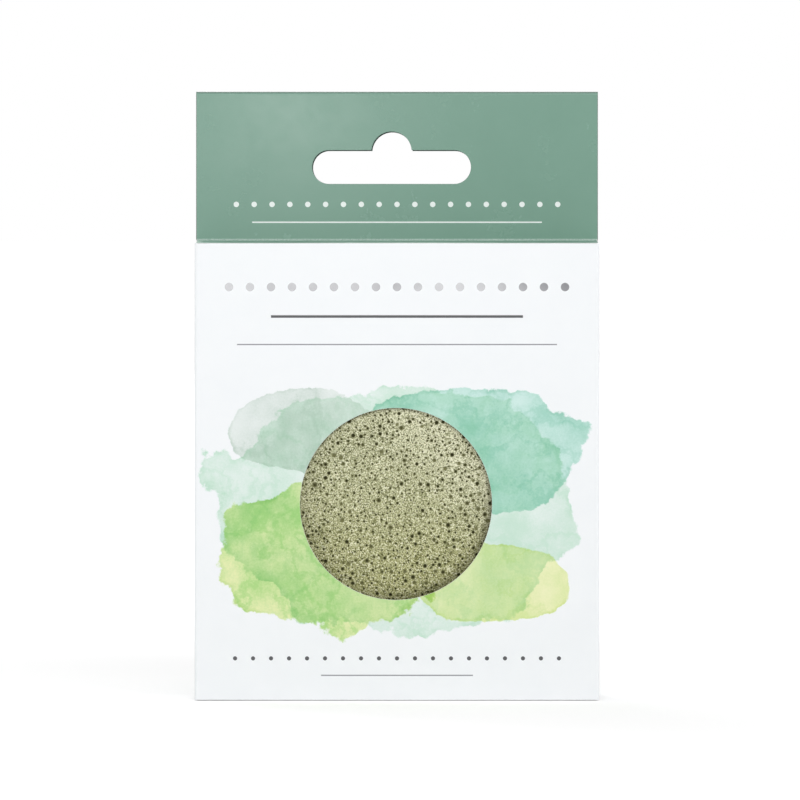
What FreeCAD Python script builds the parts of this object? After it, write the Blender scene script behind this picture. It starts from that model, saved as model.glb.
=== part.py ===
import FreeCAD
import Part

import math
import os

# A konjac facial sponge standing in its hanging carton.
# The carton is one creased paperboard blank: four walls, a doubled header with a hanging slot,
# a round open window in the front wall, and a tuck closure with dust flaps at each end.
# Millimetres, +Z up, front wall towards -Y, left and right as seen from the front.
# The origin is the middle of the footprint, on the surface that the carton stands on.

# Sponge: a round puff with a flat back and a domed front
SPONGE_DIAMETER = 77.0
SPONGE_DOME_RISE = 8.0
SPONGE_FRONT_RIM_RADIUS = 11.0
SPONGE_SKIRT = 3.0
SPONGE_BACK_RIM_RADIUS = 8.0

# Room that the carton leaves around the sponge
SIDE_ROOM = 0.9
FRONT_ROOM = 0.8
BACK_ROOM = 1.2
SEAT_ROOM = 0.3
HEADROOM = 13.2

# Board
BOARD = 0.5
GLUE_FILM = 0.1
CREASE_BEAD_RADIUS = 0.2
CREASE_GAP = 0.1
STACK_GAP = 0.1
LID_SIDE_GAP = 0.15

# Header with its hanging slot
HEADER_HEIGHT = 30.0
SLOT_LENGTH = 32.0
SLOT_HEIGHT = 6.7
SLOT_BUMP_RADIUS = 4.05
SLOT_BUMP_SINK = 0.25
SLOT_BELOW_TOP = 15.1
SLOT_OFFSET = -1.0
HEADER_GLUE_MARGIN = 2.5
SLOT_GLUE_MARGIN = 2.0

# Window
WINDOW_DIAMETER = 38.4

# Side seam
GLUE_FLAP_WIDTH = 11.0
GLUE_FLAP_END_GAP = 0.6
GLUE_FLAP_TAPER = 4.0
SEAM_GLUE_MARGIN = 2.0

# Tuck flaps
TUCK_DEPTH = 12.0
TUCK_CLEARANCE = 0.4
TUCK_SIDE_GAP = 0.6
TUCK_TAPER = 2.2
TUCK_CORNER_RADIUS = 6.0
TUCK_LEAN_DEGREES = 4.0
SLIT_LENGTH = 8.0
SLIT_WIDTH = 0.8

# Dust flaps
DUST_TIP_WIDTH = 7.5
DUST_TIP_RADIUS = 2.0
DUST_BACK_GAP = 1.0
DUST_FRONT_GAP = 2.0
DUST_BACK_SLOPE = 0.85
DUST_FRONT_SLOPE = 0.28

X_AXIS = FreeCAD.Vector(1, 0, 0)
Y_AXIS = FreeCAD.Vector(0, 1, 0)
Z_AXIS = FreeCAD.Vector(0, 0, 1)

# Walls of the carton, worked out from the sponge and the room around it
sponge_radius = SPONGE_DIAMETER / 2
sponge_rise = SPONGE_DOME_RISE + SPONGE_FRONT_RIM_RADIUS
sponge_thickness = sponge_rise + SPONGE_SKIRT + SPONGE_BACK_RIM_RADIUS
half_width = sponge_radius + SIDE_ROOM + GLUE_FILM + 2 * BOARD
half_depth = (sponge_thickness + FRONT_ROOM + BACK_ROOM) / 2 + BOARD
front_out = -half_depth
front_in = front_out + BOARD
back_out = half_depth
back_in = back_out - BOARD
sponge_height = BOARD + SEAT_ROOM + sponge_radius
carton_top = BOARD + SEAT_ROOM + SPONGE_DIAMETER + HEADROOM + BOARD
glue_flap_x = -half_width + BOARD + GLUE_FILM
wall_bottom = BOARD + STACK_GAP
wall_top = carton_top - BOARD - STACK_GAP

# Header plies and the fold that joins them
header_top = carton_top + HEADER_HEIGHT
header_front = back_in - GLUE_FILM - BOARD
fold_radius = BOARD + GLUE_FILM / 2
fold_y = back_out - fold_radius
fold_height = header_top - fold_radius
slot_height = header_top - SLOT_BELOW_TOP

# Closures
tuck_out = front_in + TUCK_CLEARANCE
tuck_in = tuck_out + BOARD
tuck_half_width = half_width - BOARD - TUCK_SIDE_GAP
dust_back = header_front - DUST_BACK_GAP
dust_front = tuck_in + DUST_FRONT_GAP
dust_length = (dust_back - dust_front - DUST_TIP_WIDTH) / (DUST_BACK_SLOPE + DUST_FRONT_SLOPE)


def point(x, y, z):
    return FreeCAD.Vector(x, y, z)


def block(x_range, y_range, z_range):
    """A box between two limits on each axis."""
    low = point(x_range[0], y_range[0], z_range[0])
    sides = [limits[1] - limits[0] for limits in (x_range, y_range, z_range)]
    return Part.makeBox(*sides, low)


def rounded_face(corners, origin, u_axis, v_axis):
    """A flat face whose corners (u, v, radius) are rounded where the radius isn't 0."""
    places = [origin + u_axis * u + v_axis * v for u, v, _ in corners]
    stretches = []
    for here, (_, _, radius) in enumerate(corners):
        corner = places[here]
        to_last = (places[here - 1] - corner).normalize()
        to_next = (places[(here + 1) % len(places)] - corner).normalize()
        if radius == 0:
            stretches.append((corner, None, corner))
            continue
        half_angle = to_last.getAngle(to_next) / 2
        inward = (to_last + to_next).normalize()
        tangent = radius / math.tan(half_angle)
        middle = corner + inward * (radius / math.sin(half_angle) - radius)
        stretches.append((corner + to_last * tangent, middle, corner + to_next * tangent))
    edges = []
    for here, (start, middle, end) in enumerate(stretches):
        if middle is not None:
            edges.append(Part.Arc(start, middle, end).toShape())
        next_start = stretches[(here + 1) % len(stretches)][0]
        if (next_start - end).Length > 1e-6:
            edges.append(Part.LineSegment(end, next_start).toShape())
    return Part.Face(Part.Wire(edges))


def slot_cutter(grow=0.0):
    """The hanging slot's outline as a bar right through the header, enlarged all round by grow."""
    radius = SLOT_HEIGHT / 2 + grow
    reach = SLOT_LENGTH / 2 - SLOT_HEIGHT / 2
    depth = back_out - header_front + 2 * BOARD
    start = header_front - BOARD

    def round_bar(x, z, bar_radius):
        return Part.makeCylinder(bar_radius, depth, point(x, start, z), Y_AXIS)

    middle = block(
        (SLOT_OFFSET - reach, SLOT_OFFSET + reach),
        (start, start + depth),
        (slot_height - radius, slot_height + radius),
    )
    ends = [round_bar(SLOT_OFFSET + side * reach, slot_height, radius) for side in (-1, 1)]
    bump_height = slot_height + SLOT_HEIGHT / 2 - SLOT_BUMP_SINK
    bump = round_bar(SLOT_OFFSET, bump_height, SLOT_BUMP_RADIUS + grow)
    return middle.fuse(ends + [bump]).removeSplitter()


def konjac_sponge():
    """A turned puff: flat back, rounded rims and a domed front towards the window."""
    crown = front_in + FRONT_ROOM
    back = crown + sponge_thickness
    skirt_front = crown + sponge_rise
    skirt_back = skirt_front + SPONGE_SKIRT
    rim_centre = sponge_radius - SPONGE_FRONT_RIM_RADIUS
    # The dome's radius, so that it meets the crown and runs tangent into the front rim
    chord_squares = rim_centre**2 + sponge_rise**2 - SPONGE_FRONT_RIM_RADIUS**2
    dome_radius = chord_squares / (2 * SPONGE_DOME_RISE)
    dome_centre = crown + dome_radius
    dome_angle = math.atan2(rim_centre, dome_centre - skirt_front)
    rim_angle = (dome_angle + math.pi / 2) / 2

    def profile(radius, y):
        return point(radius, y, sponge_height)

    def on_dome(angle):
        return profile(dome_radius * math.sin(angle), dome_centre - dome_radius * math.cos(angle))

    def on_rim(angle):
        reach = SPONGE_FRONT_RIM_RADIUS
        return profile(rim_centre + reach * math.sin(angle), skirt_front - reach * math.cos(angle))

    diagonal = SPONGE_BACK_RIM_RADIUS * math.sqrt(0.5)
    back_rim_centre = sponge_radius - SPONGE_BACK_RIM_RADIUS
    edges = [
        Part.Arc(on_dome(0), on_dome(dome_angle / 2), on_dome(dome_angle)).toShape(),
        Part.Arc(on_dome(dome_angle), on_rim(rim_angle), on_rim(math.pi / 2)).toShape(),
        Part.LineSegment(on_rim(math.pi / 2), profile(sponge_radius, skirt_back)).toShape(),
        Part.Arc(
            profile(sponge_radius, skirt_back),
            profile(back_rim_centre + diagonal, skirt_back + diagonal),
            profile(back_rim_centre, back),
        ).toShape(),
        Part.LineSegment(profile(back_rim_centre, back), profile(0, back)).toShape(),
        Part.LineSegment(profile(0, back), on_dome(0)).toShape(),
    ]
    half_section = Part.Face(Part.Wire(edges))
    return half_section.revolve(profile(0, 0), Y_AXIS, 360)


def corner_wall(left_x, outer_y, inner_y):
    """A wall from left_x to the right side, with its outer upright corners rounded as folded board is."""
    corners = [
        (left_x, inner_y, 0),
        (half_width, inner_y, 0),
        (half_width, outer_y, BOARD),
        (left_x, outer_y, BOARD),
    ]
    section = rounded_face(corners, point(0, 0, 0), X_AXIS, Y_AXIS)
    return section.extrude(Z_AXIS * carton_top)


def front_panel():
    """Front wall with the round window, centred on the sponge behind it."""
    wall = corner_wall(-half_width, front_out, front_in)
    start = point(0, front_out - BOARD, sponge_height)
    window = Part.makeCylinder(WINDOW_DIAMETER / 2, 3 * BOARD, start, Y_AXIS)
    return wall.cut(window)


def back_panel():
    """Back wall, which ends at the glue flap and runs on upwards as the rear ply of the header."""
    wall = corner_wall(glue_flap_x, back_out, back_in)
    ply = block((-half_width, half_width), (back_in, back_out), (carton_top, fold_height))
    return wall.fuse(ply).removeSplitter().cut(slot_cutter())


def side_panel(side):
    """Left (-1) or right (1) wall. The left one covers the glue flap and ends flush with the back wall."""
    x_range = sorted((side * half_width, side * (half_width - BOARD)))
    rear_end = back_out if side < 0 else back_in
    return block(x_range, (front_in, rear_end), (wall_bottom, wall_top))


def glue_flap_outline(margin, x):
    """Face of the glue flap, or of the glue on it, drawn in by margin."""
    back = back_in - margin
    front = back_in - GLUE_FLAP_WIDTH + margin
    low = wall_bottom + BOARD + GLUE_FLAP_END_GAP + margin
    high = wall_top - BOARD - GLUE_FLAP_END_GAP - margin
    corners = [
        (back, low, 0),
        (back, high, 0),
        (front, high - GLUE_FLAP_TAPER, 0),
        (front, low + GLUE_FLAP_TAPER, 0),
    ]
    return rounded_face(corners, point(x, 0, 0), Y_AXIS, Z_AXIS)


def glue_flap():
    """Narrow flap folded forward from the back wall, inside the left wall."""
    return glue_flap_outline(0, glue_flap_x).extrude(X_AXIS * BOARD)


def side_seam_glue():
    """Dried glue between the glue flap and the left wall."""
    x = -half_width + BOARD
    return glue_flap_outline(SEAM_GLUE_MARGIN, x).extrude(X_AXIS * GLUE_FILM)


def header_front_ply():
    """Front ply of the header: rolled over the rear ply at the top, creased to the lid below."""
    width = 2 * half_width
    x_range = (-half_width, half_width)
    ply = block(x_range, (header_front, header_front + BOARD), (carton_top, fold_height))
    roll = Part.makeCylinder(fold_radius, width, point(-half_width, fold_y, fold_height), X_AXIS)
    above = block(x_range, (header_front, back_out), (fold_height, header_top))
    crease_start = point(-half_width, header_front, carton_top)
    bead = Part.makeCylinder(CREASE_BEAD_RADIUS, width, crease_start, X_AXIS)
    return ply.fuse([roll.common(above), bead]).removeSplitter().cut(slot_cutter())


def header_glue():
    """Dried glue between the two plies of the header, kept back from its edges and the slot."""
    reach = half_width - HEADER_GLUE_MARGIN
    film = block(
        (-reach, reach),
        (header_front + BOARD, back_in),
        (carton_top + HEADER_GLUE_MARGIN, fold_height - HEADER_GLUE_MARGIN),
    )
    return film.cut(slot_cutter(SLOT_GLUE_MARGIN))


def lid(outer_z, inward, hinge_end):
    """Closing panel of one end. Its front edge is the rounded crease that the tuck flap hangs from."""
    inner_z = outer_z + inward * BOARD
    diagonal = BOARD * math.sqrt(0.5)
    x = -half_width + LID_SIDE_GAP

    def profile(y, z):
        return point(x, y, z)

    edges = [
        Part.LineSegment(profile(hinge_end, inner_z), profile(hinge_end, outer_z)).toShape(),
        Part.LineSegment(profile(hinge_end, outer_z), profile(tuck_in, outer_z)).toShape(),
        Part.Arc(
            profile(tuck_in, outer_z),
            profile(tuck_in - diagonal, inner_z - inward * diagonal),
            profile(tuck_out, inner_z),
        ).toShape(),
        Part.LineSegment(profile(tuck_out, inner_z), profile(hinge_end, inner_z)).toShape(),
    ]
    section = Part.Face(Part.Wire(edges))
    return section.extrude(X_AXIS * (2 * (half_width - LID_SIDE_GAP)))


def tuck_flap(crease_z, inward):
    """Flap that slides in behind the front wall, slit at both ends of its crease and leaning back."""
    end = tuck_half_width - TUCK_TAPER
    shoulder = tuck_half_width - SLIT_LENGTH
    lowered = CREASE_GAP + SLIT_WIDTH
    right_half = [
        (shoulder, CREASE_GAP, 0),
        (shoulder, lowered, 0),
        (tuck_half_width, lowered, 0),
        (end, TUCK_DEPTH, TUCK_CORNER_RADIUS),
    ]
    left_half = [(-u, v, radius) for u, v, radius in reversed(right_half)]
    crease = point(0, tuck_in, crease_z)
    outline = rounded_face(right_half + left_half, crease, X_AXIS, Z_AXIS * inward)
    flap = outline.extrude(Y_AXIS * -BOARD)
    flap.rotate(crease, X_AXIS * -inward, TUCK_LEAN_DEGREES)
    return flap


def dust_flap(side, outer_z, inward):
    """Side flap under a lid. Its rear edge slopes clear of the rising lid, its front edge of the tuck."""
    root = BOARD + CREASE_GAP
    tip = root + dust_length
    corners = [
        (root, dust_back, 0),
        (tip, dust_back - DUST_BACK_SLOPE * dust_length, DUST_TIP_RADIUS),
        (tip, dust_front + DUST_FRONT_SLOPE * dust_length, DUST_TIP_RADIUS),
        (root, dust_front, 0),
    ]
    hinge = point(side * half_width, 0, outer_z)
    outline = rounded_face(corners, hinge, X_AXIS * -side, Y_AXIS)
    return outline.extrude(Z_AXIS * (inward * BOARD))


def closure(end, outer_z, inward, hinge_end):
    """The lid, tuck flap and two dust flaps of the carton's top or bottom, by name."""
    inner_z = outer_z + inward * BOARD
    dust_z = inner_z + inward * STACK_GAP
    return {
        f"{end}_lid": lid(outer_z, inward, hinge_end),
        f"{end}_tuck_flap": tuck_flap(inner_z, inward),
        f"{end}_dust_flap_left": dust_flap(-1, dust_z, inward),
        f"{end}_dust_flap_right": dust_flap(1, dust_z, inward),
    }


def all_parts():
    top_hinge_end = header_front - CREASE_BEAD_RADIUS - CREASE_GAP
    bottom_hinge_end = back_in - CREASE_GAP
    return {
        "konjac_sponge": konjac_sponge(),
        "front_panel": front_panel(),
        "back_panel": back_panel(),
        "left_side_panel": side_panel(-1),
        "right_side_panel": side_panel(1),
        "glue_flap": glue_flap(),
        "side_seam_glue": side_seam_glue(),
        "header_front_ply": header_front_ply(),
        "header_glue": header_glue(),
        **closure("top", carton_top, -1, top_hinge_end),
        **closure("bottom", 0.0, 1, bottom_hinge_end),
    }


parts = all_parts()
os.makedirs("parts", exist_ok=True)
for name, shape in parts.items():
    shape.exportStep(f"parts/{name}.step")
    print(f"{name}: {len(shape.Solids)} solid, {shape.Volume:.1f} cubic mm, valid {shape.isValid()}")
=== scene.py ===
import math

import bmesh
import bpy
import numpy as np
from mathutils import Matrix, Vector, geometry, kdtree, noise


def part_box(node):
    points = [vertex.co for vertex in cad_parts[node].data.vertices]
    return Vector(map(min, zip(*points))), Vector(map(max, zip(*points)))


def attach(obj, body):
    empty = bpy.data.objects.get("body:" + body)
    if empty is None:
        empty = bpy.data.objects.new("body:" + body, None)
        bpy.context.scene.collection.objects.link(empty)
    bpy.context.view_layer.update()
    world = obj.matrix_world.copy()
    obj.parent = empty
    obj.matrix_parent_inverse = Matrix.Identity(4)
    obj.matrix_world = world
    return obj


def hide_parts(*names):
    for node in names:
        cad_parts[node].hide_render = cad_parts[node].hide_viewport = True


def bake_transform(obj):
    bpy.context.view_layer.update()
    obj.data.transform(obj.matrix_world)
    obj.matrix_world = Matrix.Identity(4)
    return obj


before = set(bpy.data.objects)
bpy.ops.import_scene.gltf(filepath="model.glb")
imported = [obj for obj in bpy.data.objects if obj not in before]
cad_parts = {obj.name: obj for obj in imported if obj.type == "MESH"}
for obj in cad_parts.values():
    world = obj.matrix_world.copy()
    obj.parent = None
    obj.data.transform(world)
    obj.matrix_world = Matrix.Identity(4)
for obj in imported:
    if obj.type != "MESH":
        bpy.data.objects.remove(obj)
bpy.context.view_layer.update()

# Front wall of the carton: half-millimetre folding boxboard, printed and varnished outside, raw inside.
# It is die-cut with the round window, and its soft cut edge shows as a white line along the top.
# Every flat panel of the blank is made by board() and keeps its three faces: printed, raw and cut.
front_low, front_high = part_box("front_panel")
side_low, side_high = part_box("right_side_panel")
board_thickness = front_high.y - front_low.y
inner_half_width = side_low.x
carton_top = front_high.z
sponge_low, sponge_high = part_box("konjac_sponge")
sponge_middle = (sponge_low.z + sponge_high.z) / 2
window_radius, window_shift, front_swell = 0.0192, -0.0002, 0.00012
PRINTED, RAW, CUT = 0, 1, 2
JOINED, CRISP, SOFT = 0.0, 0.00003, 0.00012


def placed(name, data):
    """A new object in the scene, for a mesh, a lamp or a lens."""
    made = bpy.data.objects.new(name, data)
    bpy.context.scene.collection.objects.link(made)
    return made


def board(name, outline, origin, across, up, holes=(), swell=0.0, weave=0.003):
    """A flat panel drawn as (across, up, rounding of the next side) points, anticlockwise from outside.
    Cut sides are rounded off a little; JOINED sides stay square, because a crease carries on there."""
    loops = [outline] + list(holes)
    inward = up.cross(across)
    roundings = [np.array([rounding for _, _, rounding in loop]) for loop in loops]
    corner_rounding = np.concatenate([np.maximum(np.maximum(r, np.roll(r, 1)), 1e-5) for r in roundings])
    turns = [math.radians(angle) for angle in (0, 30, 60, 90)]
    rim = [(1 - math.sin(turn), (1 - math.cos(turn)) * corner_rounding) for turn in turns]
    rim += [(inset, board_thickness - depth) for inset, depth in reversed(rim)]

    def drawn_in(loop, share):
        """A loop with each side drawn in by a share of its rounding."""
        points = np.array([(u, v) for u, v, _ in loop])
        ahead = np.roll(points, -1, axis=0) - points
        ahead /= np.linalg.norm(ahead, axis=1)[:, None]
        into = np.column_stack((-ahead[:, 1], ahead[:, 0]))
        shift = np.array([share * rounding for _, _, rounding in loop])
        into_last, shift_last = np.roll(into, 1, axis=0), np.roll(shift, 1)
        turn = into_last[:, 0] * into[:, 1] - into_last[:, 1] * into[:, 0]
        straight = np.abs(turn) < 1e-4
        turn = np.where(straight, 1.0, turn)
        move_u = (shift_last * into[:, 1] - shift * into_last[:, 1]) / turn
        move_v = (shift * into_last[:, 0] - shift_last * into[:, 0]) / turn
        move = np.column_stack((move_u, move_v))
        move[straight] = into[straight] * shift[straight][:, None]
        return points + move

    def inside(points, rings):
        """Which points lie on the board and in none of its holes."""
        crossings = np.zeros(len(points), int)
        for ring in rings:
            for (u0, v0), (u1, v1) in zip(ring, np.roll(ring, -1, axis=0)):
                if v0 == v1:
                    continue
                spans = (points[:, 1] > min(v0, v1)) & (points[:, 1] <= max(v0, v1))
                meets = u0 + (points[:, 1] - v0) / (v1 - v0) * (u1 - u0)
                crossings += spans & (points[:, 0] < meets)
        return crossings % 2 == 1

    def nearest(points, rings):
        """How far each point is from the nearest side."""
        closest = np.full(len(points), np.inf)
        for ring in rings:
            for start, end in zip(ring, np.roll(ring, -1, axis=0)):
                side = end - start
                along = np.clip((points - start) @ side / (side @ side), 0, 1)
                closest = np.minimum(closest, np.linalg.norm(points - start - along[:, None] * side, axis=1))
        return closest

    rings = [drawn_in(loop, rim[0][0]) for loop in loops]
    corners = np.vstack(rings)
    low, high = corners.min(axis=0), corners.max(axis=0)
    grid = np.meshgrid(np.arange(low[0], high[0], weave), np.arange(low[1], high[1], weave))
    fill = np.column_stack([g.ravel() for g in grid])
    fill = fill[inside(fill, rings)]
    fill = fill[nearest(fill, rings) > weave * 0.4]

    flat = np.vstack([corners, fill])
    sides, first = [], 0
    for ring in rings:
        sides += [(first + i, first + (i + 1) % len(ring)) for i in range(len(ring))]
        first += len(ring)
    spots = [Vector(p) for p in flat * 1000]
    _, _, triangles, came_from, _, _ = geometry.delaunay_2d_cdt(spots, sides, [], 0, 1e-7)
    triangles = np.array([[came_from[i][0] for i in t] for t in triangles])
    triangles = triangles[inside(flat[triangles].mean(axis=1), rings)]

    places = [(np.vstack([drawn_in(loop, inset) for loop in loops]), depth) for inset, depth in rim]
    places += [(fill, np.zeros(len(fill))), (fill, np.full(len(fill), board_thickness))]
    spot = np.vstack([p for p, _ in places])
    depth = np.concatenate([d for _, d in places])
    share = 2 * (spot - low) / (high - low) - 1
    lift = swell * np.clip(1 - share**2, 0, 1).prod(axis=1)
    verts = np.array(origin) + spot[:, :1] * np.array(across) + spot[:, 1:] * np.array(up)
    verts = verts + (depth - lift)[:, None] * np.array(inward)

    count, last = len(corners), len(rim) - 1
    fill_outer = count * len(rim)
    fill_inner = fill_outer + len(fill)
    outer = np.where(triangles < count, triangles, triangles - count + fill_outer)
    inner = np.where(triangles < count, triangles + last * count, triangles - count + fill_inner)[:, ::-1]
    edge = [
        (step * count + a, (step + 1) * count + a, (step + 1) * count + b, step * count + b)
        for step in range(last)
        for a, b in sides
    ]
    mesh = bpy.data.meshes.new(name)
    mesh.from_pydata(verts.tolist(), [], outer.tolist() + inner.tolist() + edge)
    kinds = [PRINTED] * len(outer) + [RAW] * len(inner) + [CUT] * len(edge)
    mesh.polygons.foreach_set("material_index", kinds)
    mesh.polygons.foreach_set("use_smooth", [True] * len(kinds))
    ends = np.empty(2 * len(mesh.edges), int)
    mesh.edges.foreach_get("vertices", ends)
    ring_of = ends.reshape(-1, 2) // count
    sharp = ((ring_of == 0) | (ring_of == last)).all(axis=1)
    mesh.attributes.new("sharp_edge", "BOOLEAN", "EDGE").data.foreach_set("value", sharp)
    return placed(name, mesh)


def add(tree, kind, inputs=None, **settings):
    """One shader node with its settings. Each input is a link, a plain number, a colour or a place."""
    made = tree.nodes.new(kind)
    for name, value in settings.items():
        setattr(made, name, value)
    for key, term in (inputs or {}).items():
        socket = made.inputs[key]
        if isinstance(term, bpy.types.NodeSocket):
            tree.links.new(term, socket)
        else:
            socket.default_value = (*term, 1.0) if socket.type == "RGBA" else term
    return made


def group(name, inputs, outputs):
    """An empty shader group and its two end nodes. Inputs and outputs are (name, kind of value)."""
    tree = bpy.data.node_groups.new(name, "ShaderNodeTree")
    for in_out, sockets in (("INPUT", inputs), ("OUTPUT", outputs)):
        for socket, kind in sockets:
            tree.interface.new_socket(socket, in_out=in_out, socket_type="NodeSocket" + kind)
    return tree, tree.nodes.new("NodeGroupInput").outputs, tree.nodes.new("NodeGroupOutput").inputs


def number(tree, what, *terms):
    """One step of arithmetic on links and plain numbers."""
    return add(tree, "ShaderNodeMath", dict(enumerate(terms)), operation=what).outputs[0]


def rise(tree, value, low, high, to_low=0.0, to_high=1.0):
    """A soft step of a value from low to high."""
    made = add(tree, "ShaderNodeMapRange", {0: value, 1: low, 2: high, 3: to_low, 4: to_high},
               interpolation_type="SMOOTHSTEP")
    return made.outputs[0]


def tint(tree, share, first, second, blend="MIX"):
    """Two colours mixed by a share. Each is a link or a plain colour."""
    made = add(tree, "ShaderNodeMix", {0: share, 6: first, 7: second}, data_type="RGBA", blend_type=blend)
    return made.outputs[2]


def mottle(tree, place, scale, detail, roughness=0.5):
    """Soft noise that wanders over the surface."""
    inputs = {"Vector": place, "Scale": scale, "Detail": detail, "Roughness": roughness}
    return add(tree, "ShaderNodeTexNoise", inputs).outputs[0]


def finish_of(name):
    """A new material with its Principled shader, and where on the piece each point lies."""
    material = bpy.data.materials.new(name)
    material.use_nodes = True
    tree = material.node_tree
    place = tree.nodes.new("ShaderNodeTexCoord").outputs["Object"]
    return material, tree, tree.nodes["Principled BSDF"], place


# Paper tooth: clouds of coating a few millimetres wide, and fibres under a fifth of a millimetre thick
paper_tooth, tooth_in, tooth_out = group(
    "paper_tooth", [("Place", "Vector")], [("Cloud", "Float"), ("Fibre", "Float")])
cloud = mottle(paper_tooth, tooth_in["Place"], 150.0, 5.0, 0.6)
fibre_bend = add(paper_tooth, "ShaderNodeTexNoise",
                 {"Vector": tooth_in["Place"], "Scale": 700.0, "Detail": 2.0}).outputs["Color"]
fibre_bend = add(paper_tooth, "ShaderNodeVectorMath", {0: fibre_bend, "Scale": 0.0012},
                 operation="SCALE").outputs[0]
fibre_place = add(paper_tooth, "ShaderNodeVectorMath", {0: tooth_in["Place"], 1: fibre_bend},
                  operation="ADD").outputs[0]
fibre = mottle(paper_tooth, fibre_place, 3200.0, 3.0, 0.65)
paper_tooth.links.new(cloud, tooth_out["Cloud"])
paper_tooth.links.new(fibre, tooth_out["Fibre"])


def board_finish(name):
    """A new material for the board, with its shader, its place, and the clouds and fibres of its tooth."""
    material, tree, shader, place = finish_of(name)
    tooth = add(tree, "ShaderNodeGroup", {"Place": place}, node_tree=paper_tooth).outputs
    return material, tree, shader, place, tooth["Cloud"], tooth["Fibre"]


def surface(tree, shader, colour, roughness, relief=None, strength=0.0, deep=0.0001):
    """The colour and roughness of a finish and, where it has one, its fine relief."""
    tree.links.new(colour, shader.inputs["Base Color"])
    tree.links.new(roughness, shader.inputs["Roughness"])
    if relief is not None:
        bump = add(tree, "ShaderNodeBump", {"Strength": strength, "Distance": deep, "Height": relief})
        tree.links.new(bump.outputs[0], shader.inputs["Normal"])


def varnished(tree, shader, colour, cloud, fibre, sheen=(0.36, 0.46), tooth=0.06):
    """Ink under a thin varnish: the roughness wanders and the paper shows faintly through."""
    relief = number(tree, "ADD", fibre, number(tree, "MULTIPLY", cloud, 2.0))
    surface(tree, shader, colour, rise(tree, cloud, 0.3, 0.7, *sheen), relief, tooth)


# A pool of watercolour: a ragged wet edge, pigment gathered along it, and grain where it dried
wash, pool_in, pool_out = group(
    "wash_pool",
    [("Place", "Vector"), ("Middle", "Vector"), ("Reach", "Vector"), ("Ragged", "Float"), ("Draw", "Float")],
    [("Cover", "Float"), ("Rim", "Float"), ("Depth", "Float")])
flat_place = add(wash, "ShaderNodeVectorMath", {0: pool_in["Place"], 1: (1.0, 0.0, 1.0)},
                 operation="MULTIPLY").outputs[0]
shifted = add(wash, "ShaderNodeVectorMath", {0: flat_place, 1: pool_in["Middle"]},
              operation="SUBTRACT").outputs[0]
shared = add(wash, "ShaderNodeVectorMath", {0: shifted, 1: pool_in["Reach"]}, operation="DIVIDE").outputs[0]
spread = add(wash, "ShaderNodeVectorMath", {0: shared}, operation="LENGTH").outputs["Value"]


def pool_noise(scale, detail, roughness):
    """Noise about zero, drawn anew for each pool."""
    inputs = {"Vector": flat_place, "W": pool_in["Draw"], "Scale": scale, "Detail": detail,
              "Roughness": roughness}
    made = add(wash, "ShaderNodeTexNoise", inputs, noise_dimensions="4D")
    return number(wash, "SUBTRACT", made.outputs[0], 0.5)


tongues = number(wash, "MULTIPLY", pool_noise(70.0, 3.0, 0.5), pool_in["Ragged"])
fringe = number(wash, "MULTIPLY", pool_noise(420.0, 6.0, 0.62), 0.22)
edge_at = number(wash, "ADD", number(wash, "ADD", spread, tongues), fringe)
cover = rise(wash, edge_at, 1.0, 0.972)
gather = rise(wash, pool_noise(110.0, 2.0, 0.5), -0.12, 0.16)
rim = number(wash, "MULTIPLY", rise(wash, edge_at, 0.90, 0.985), gather)
slow = number(wash, "MULTIPLY", pool_noise(95.0, 6.0, 0.62), 2.4)
grain = number(wash, "MULTIPLY", pool_noise(2300.0, 3.0, 0.75), 0.8)
backrun = number(wash, "ABSOLUTE", pool_noise(60.0, 7.0, 0.6))
backrun = rise(wash, backrun, 0.028, 0.0, 0.0, 0.28)
depth = number(wash, "ADD", number(wash, "ADD", slow, grain), 0.5)
depth = number(wash, "ADD", depth, backrun)
wash.links.new(cover, pool_out["Cover"])
wash.links.new(number(wash, "MULTIPLY", rim, cover), pool_out["Rim"])
wash.links.new(rise(wash, depth, 0.0, 1.1), pool_out["Depth"])

# A printed row: dots, dashes or one plain rule centred on the carton, with clean ink edges
marks, row_in, row_out = group(
    "printed_row",
    [("Place", "Vector"), ("Height", "Float"), ("Reach", "Float"), ("Pitch", "Float"), ("Half Mark", "Float"),
     ("Half Stroke", "Float")],
    [("Ink", "Float")])
row_axes = add(marks, "ShaderNodeSeparateXYZ", {0: row_in["Place"]}).outputs
half_pitch = number(marks, "MULTIPLY", row_in["Pitch"], 0.5)
back_pitch = number(marks, "MULTIPLY", row_in["Pitch"], -0.5)
in_mark = number(marks, "ABSOLUTE", number(marks, "WRAP", row_axes[0], half_pitch, back_pitch))
past_mark = number(marks, "MAXIMUM", number(marks, "SUBTRACT", in_mark, row_in["Half Mark"]), 0.0)
off_row = number(marks, "SUBTRACT", row_axes[2], row_in["Height"])
away = number(marks, "ADD", number(marks, "POWER", past_mark, 2.0), number(marks, "POWER", off_row, 2.0))
outside = number(marks, "SUBTRACT", number(marks, "SQRT", away), row_in["Half Stroke"])
past_end = number(marks, "SUBTRACT", number(marks, "ABSOLUTE", row_axes[0]), row_in["Reach"])
ink_blur = 0.00003
outside = number(marks, "MAXIMUM", outside, past_end)
marks.links.new(rise(marks, outside, ink_blur, -ink_blur), row_out["Ink"])


def row(tree, place, *sizes):
    """Where the ink of one printed row lies, from its height, reach, pitch, half mark and half stroke."""
    sockets = ("Place", "Height", "Reach", "Pitch", "Half Mark", "Half Stroke")
    return add(tree, "ShaderNodeGroup", dict(zip(sockets, (place, *sizes))), node_tree=marks).outputs["Ink"]


def white_coat(tree, cloud):
    """The clay coat of the board, a cool white."""
    return tint(tree, cloud, (0.855, 0.880, 0.900), (0.900, 0.918, 0.932))


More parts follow.
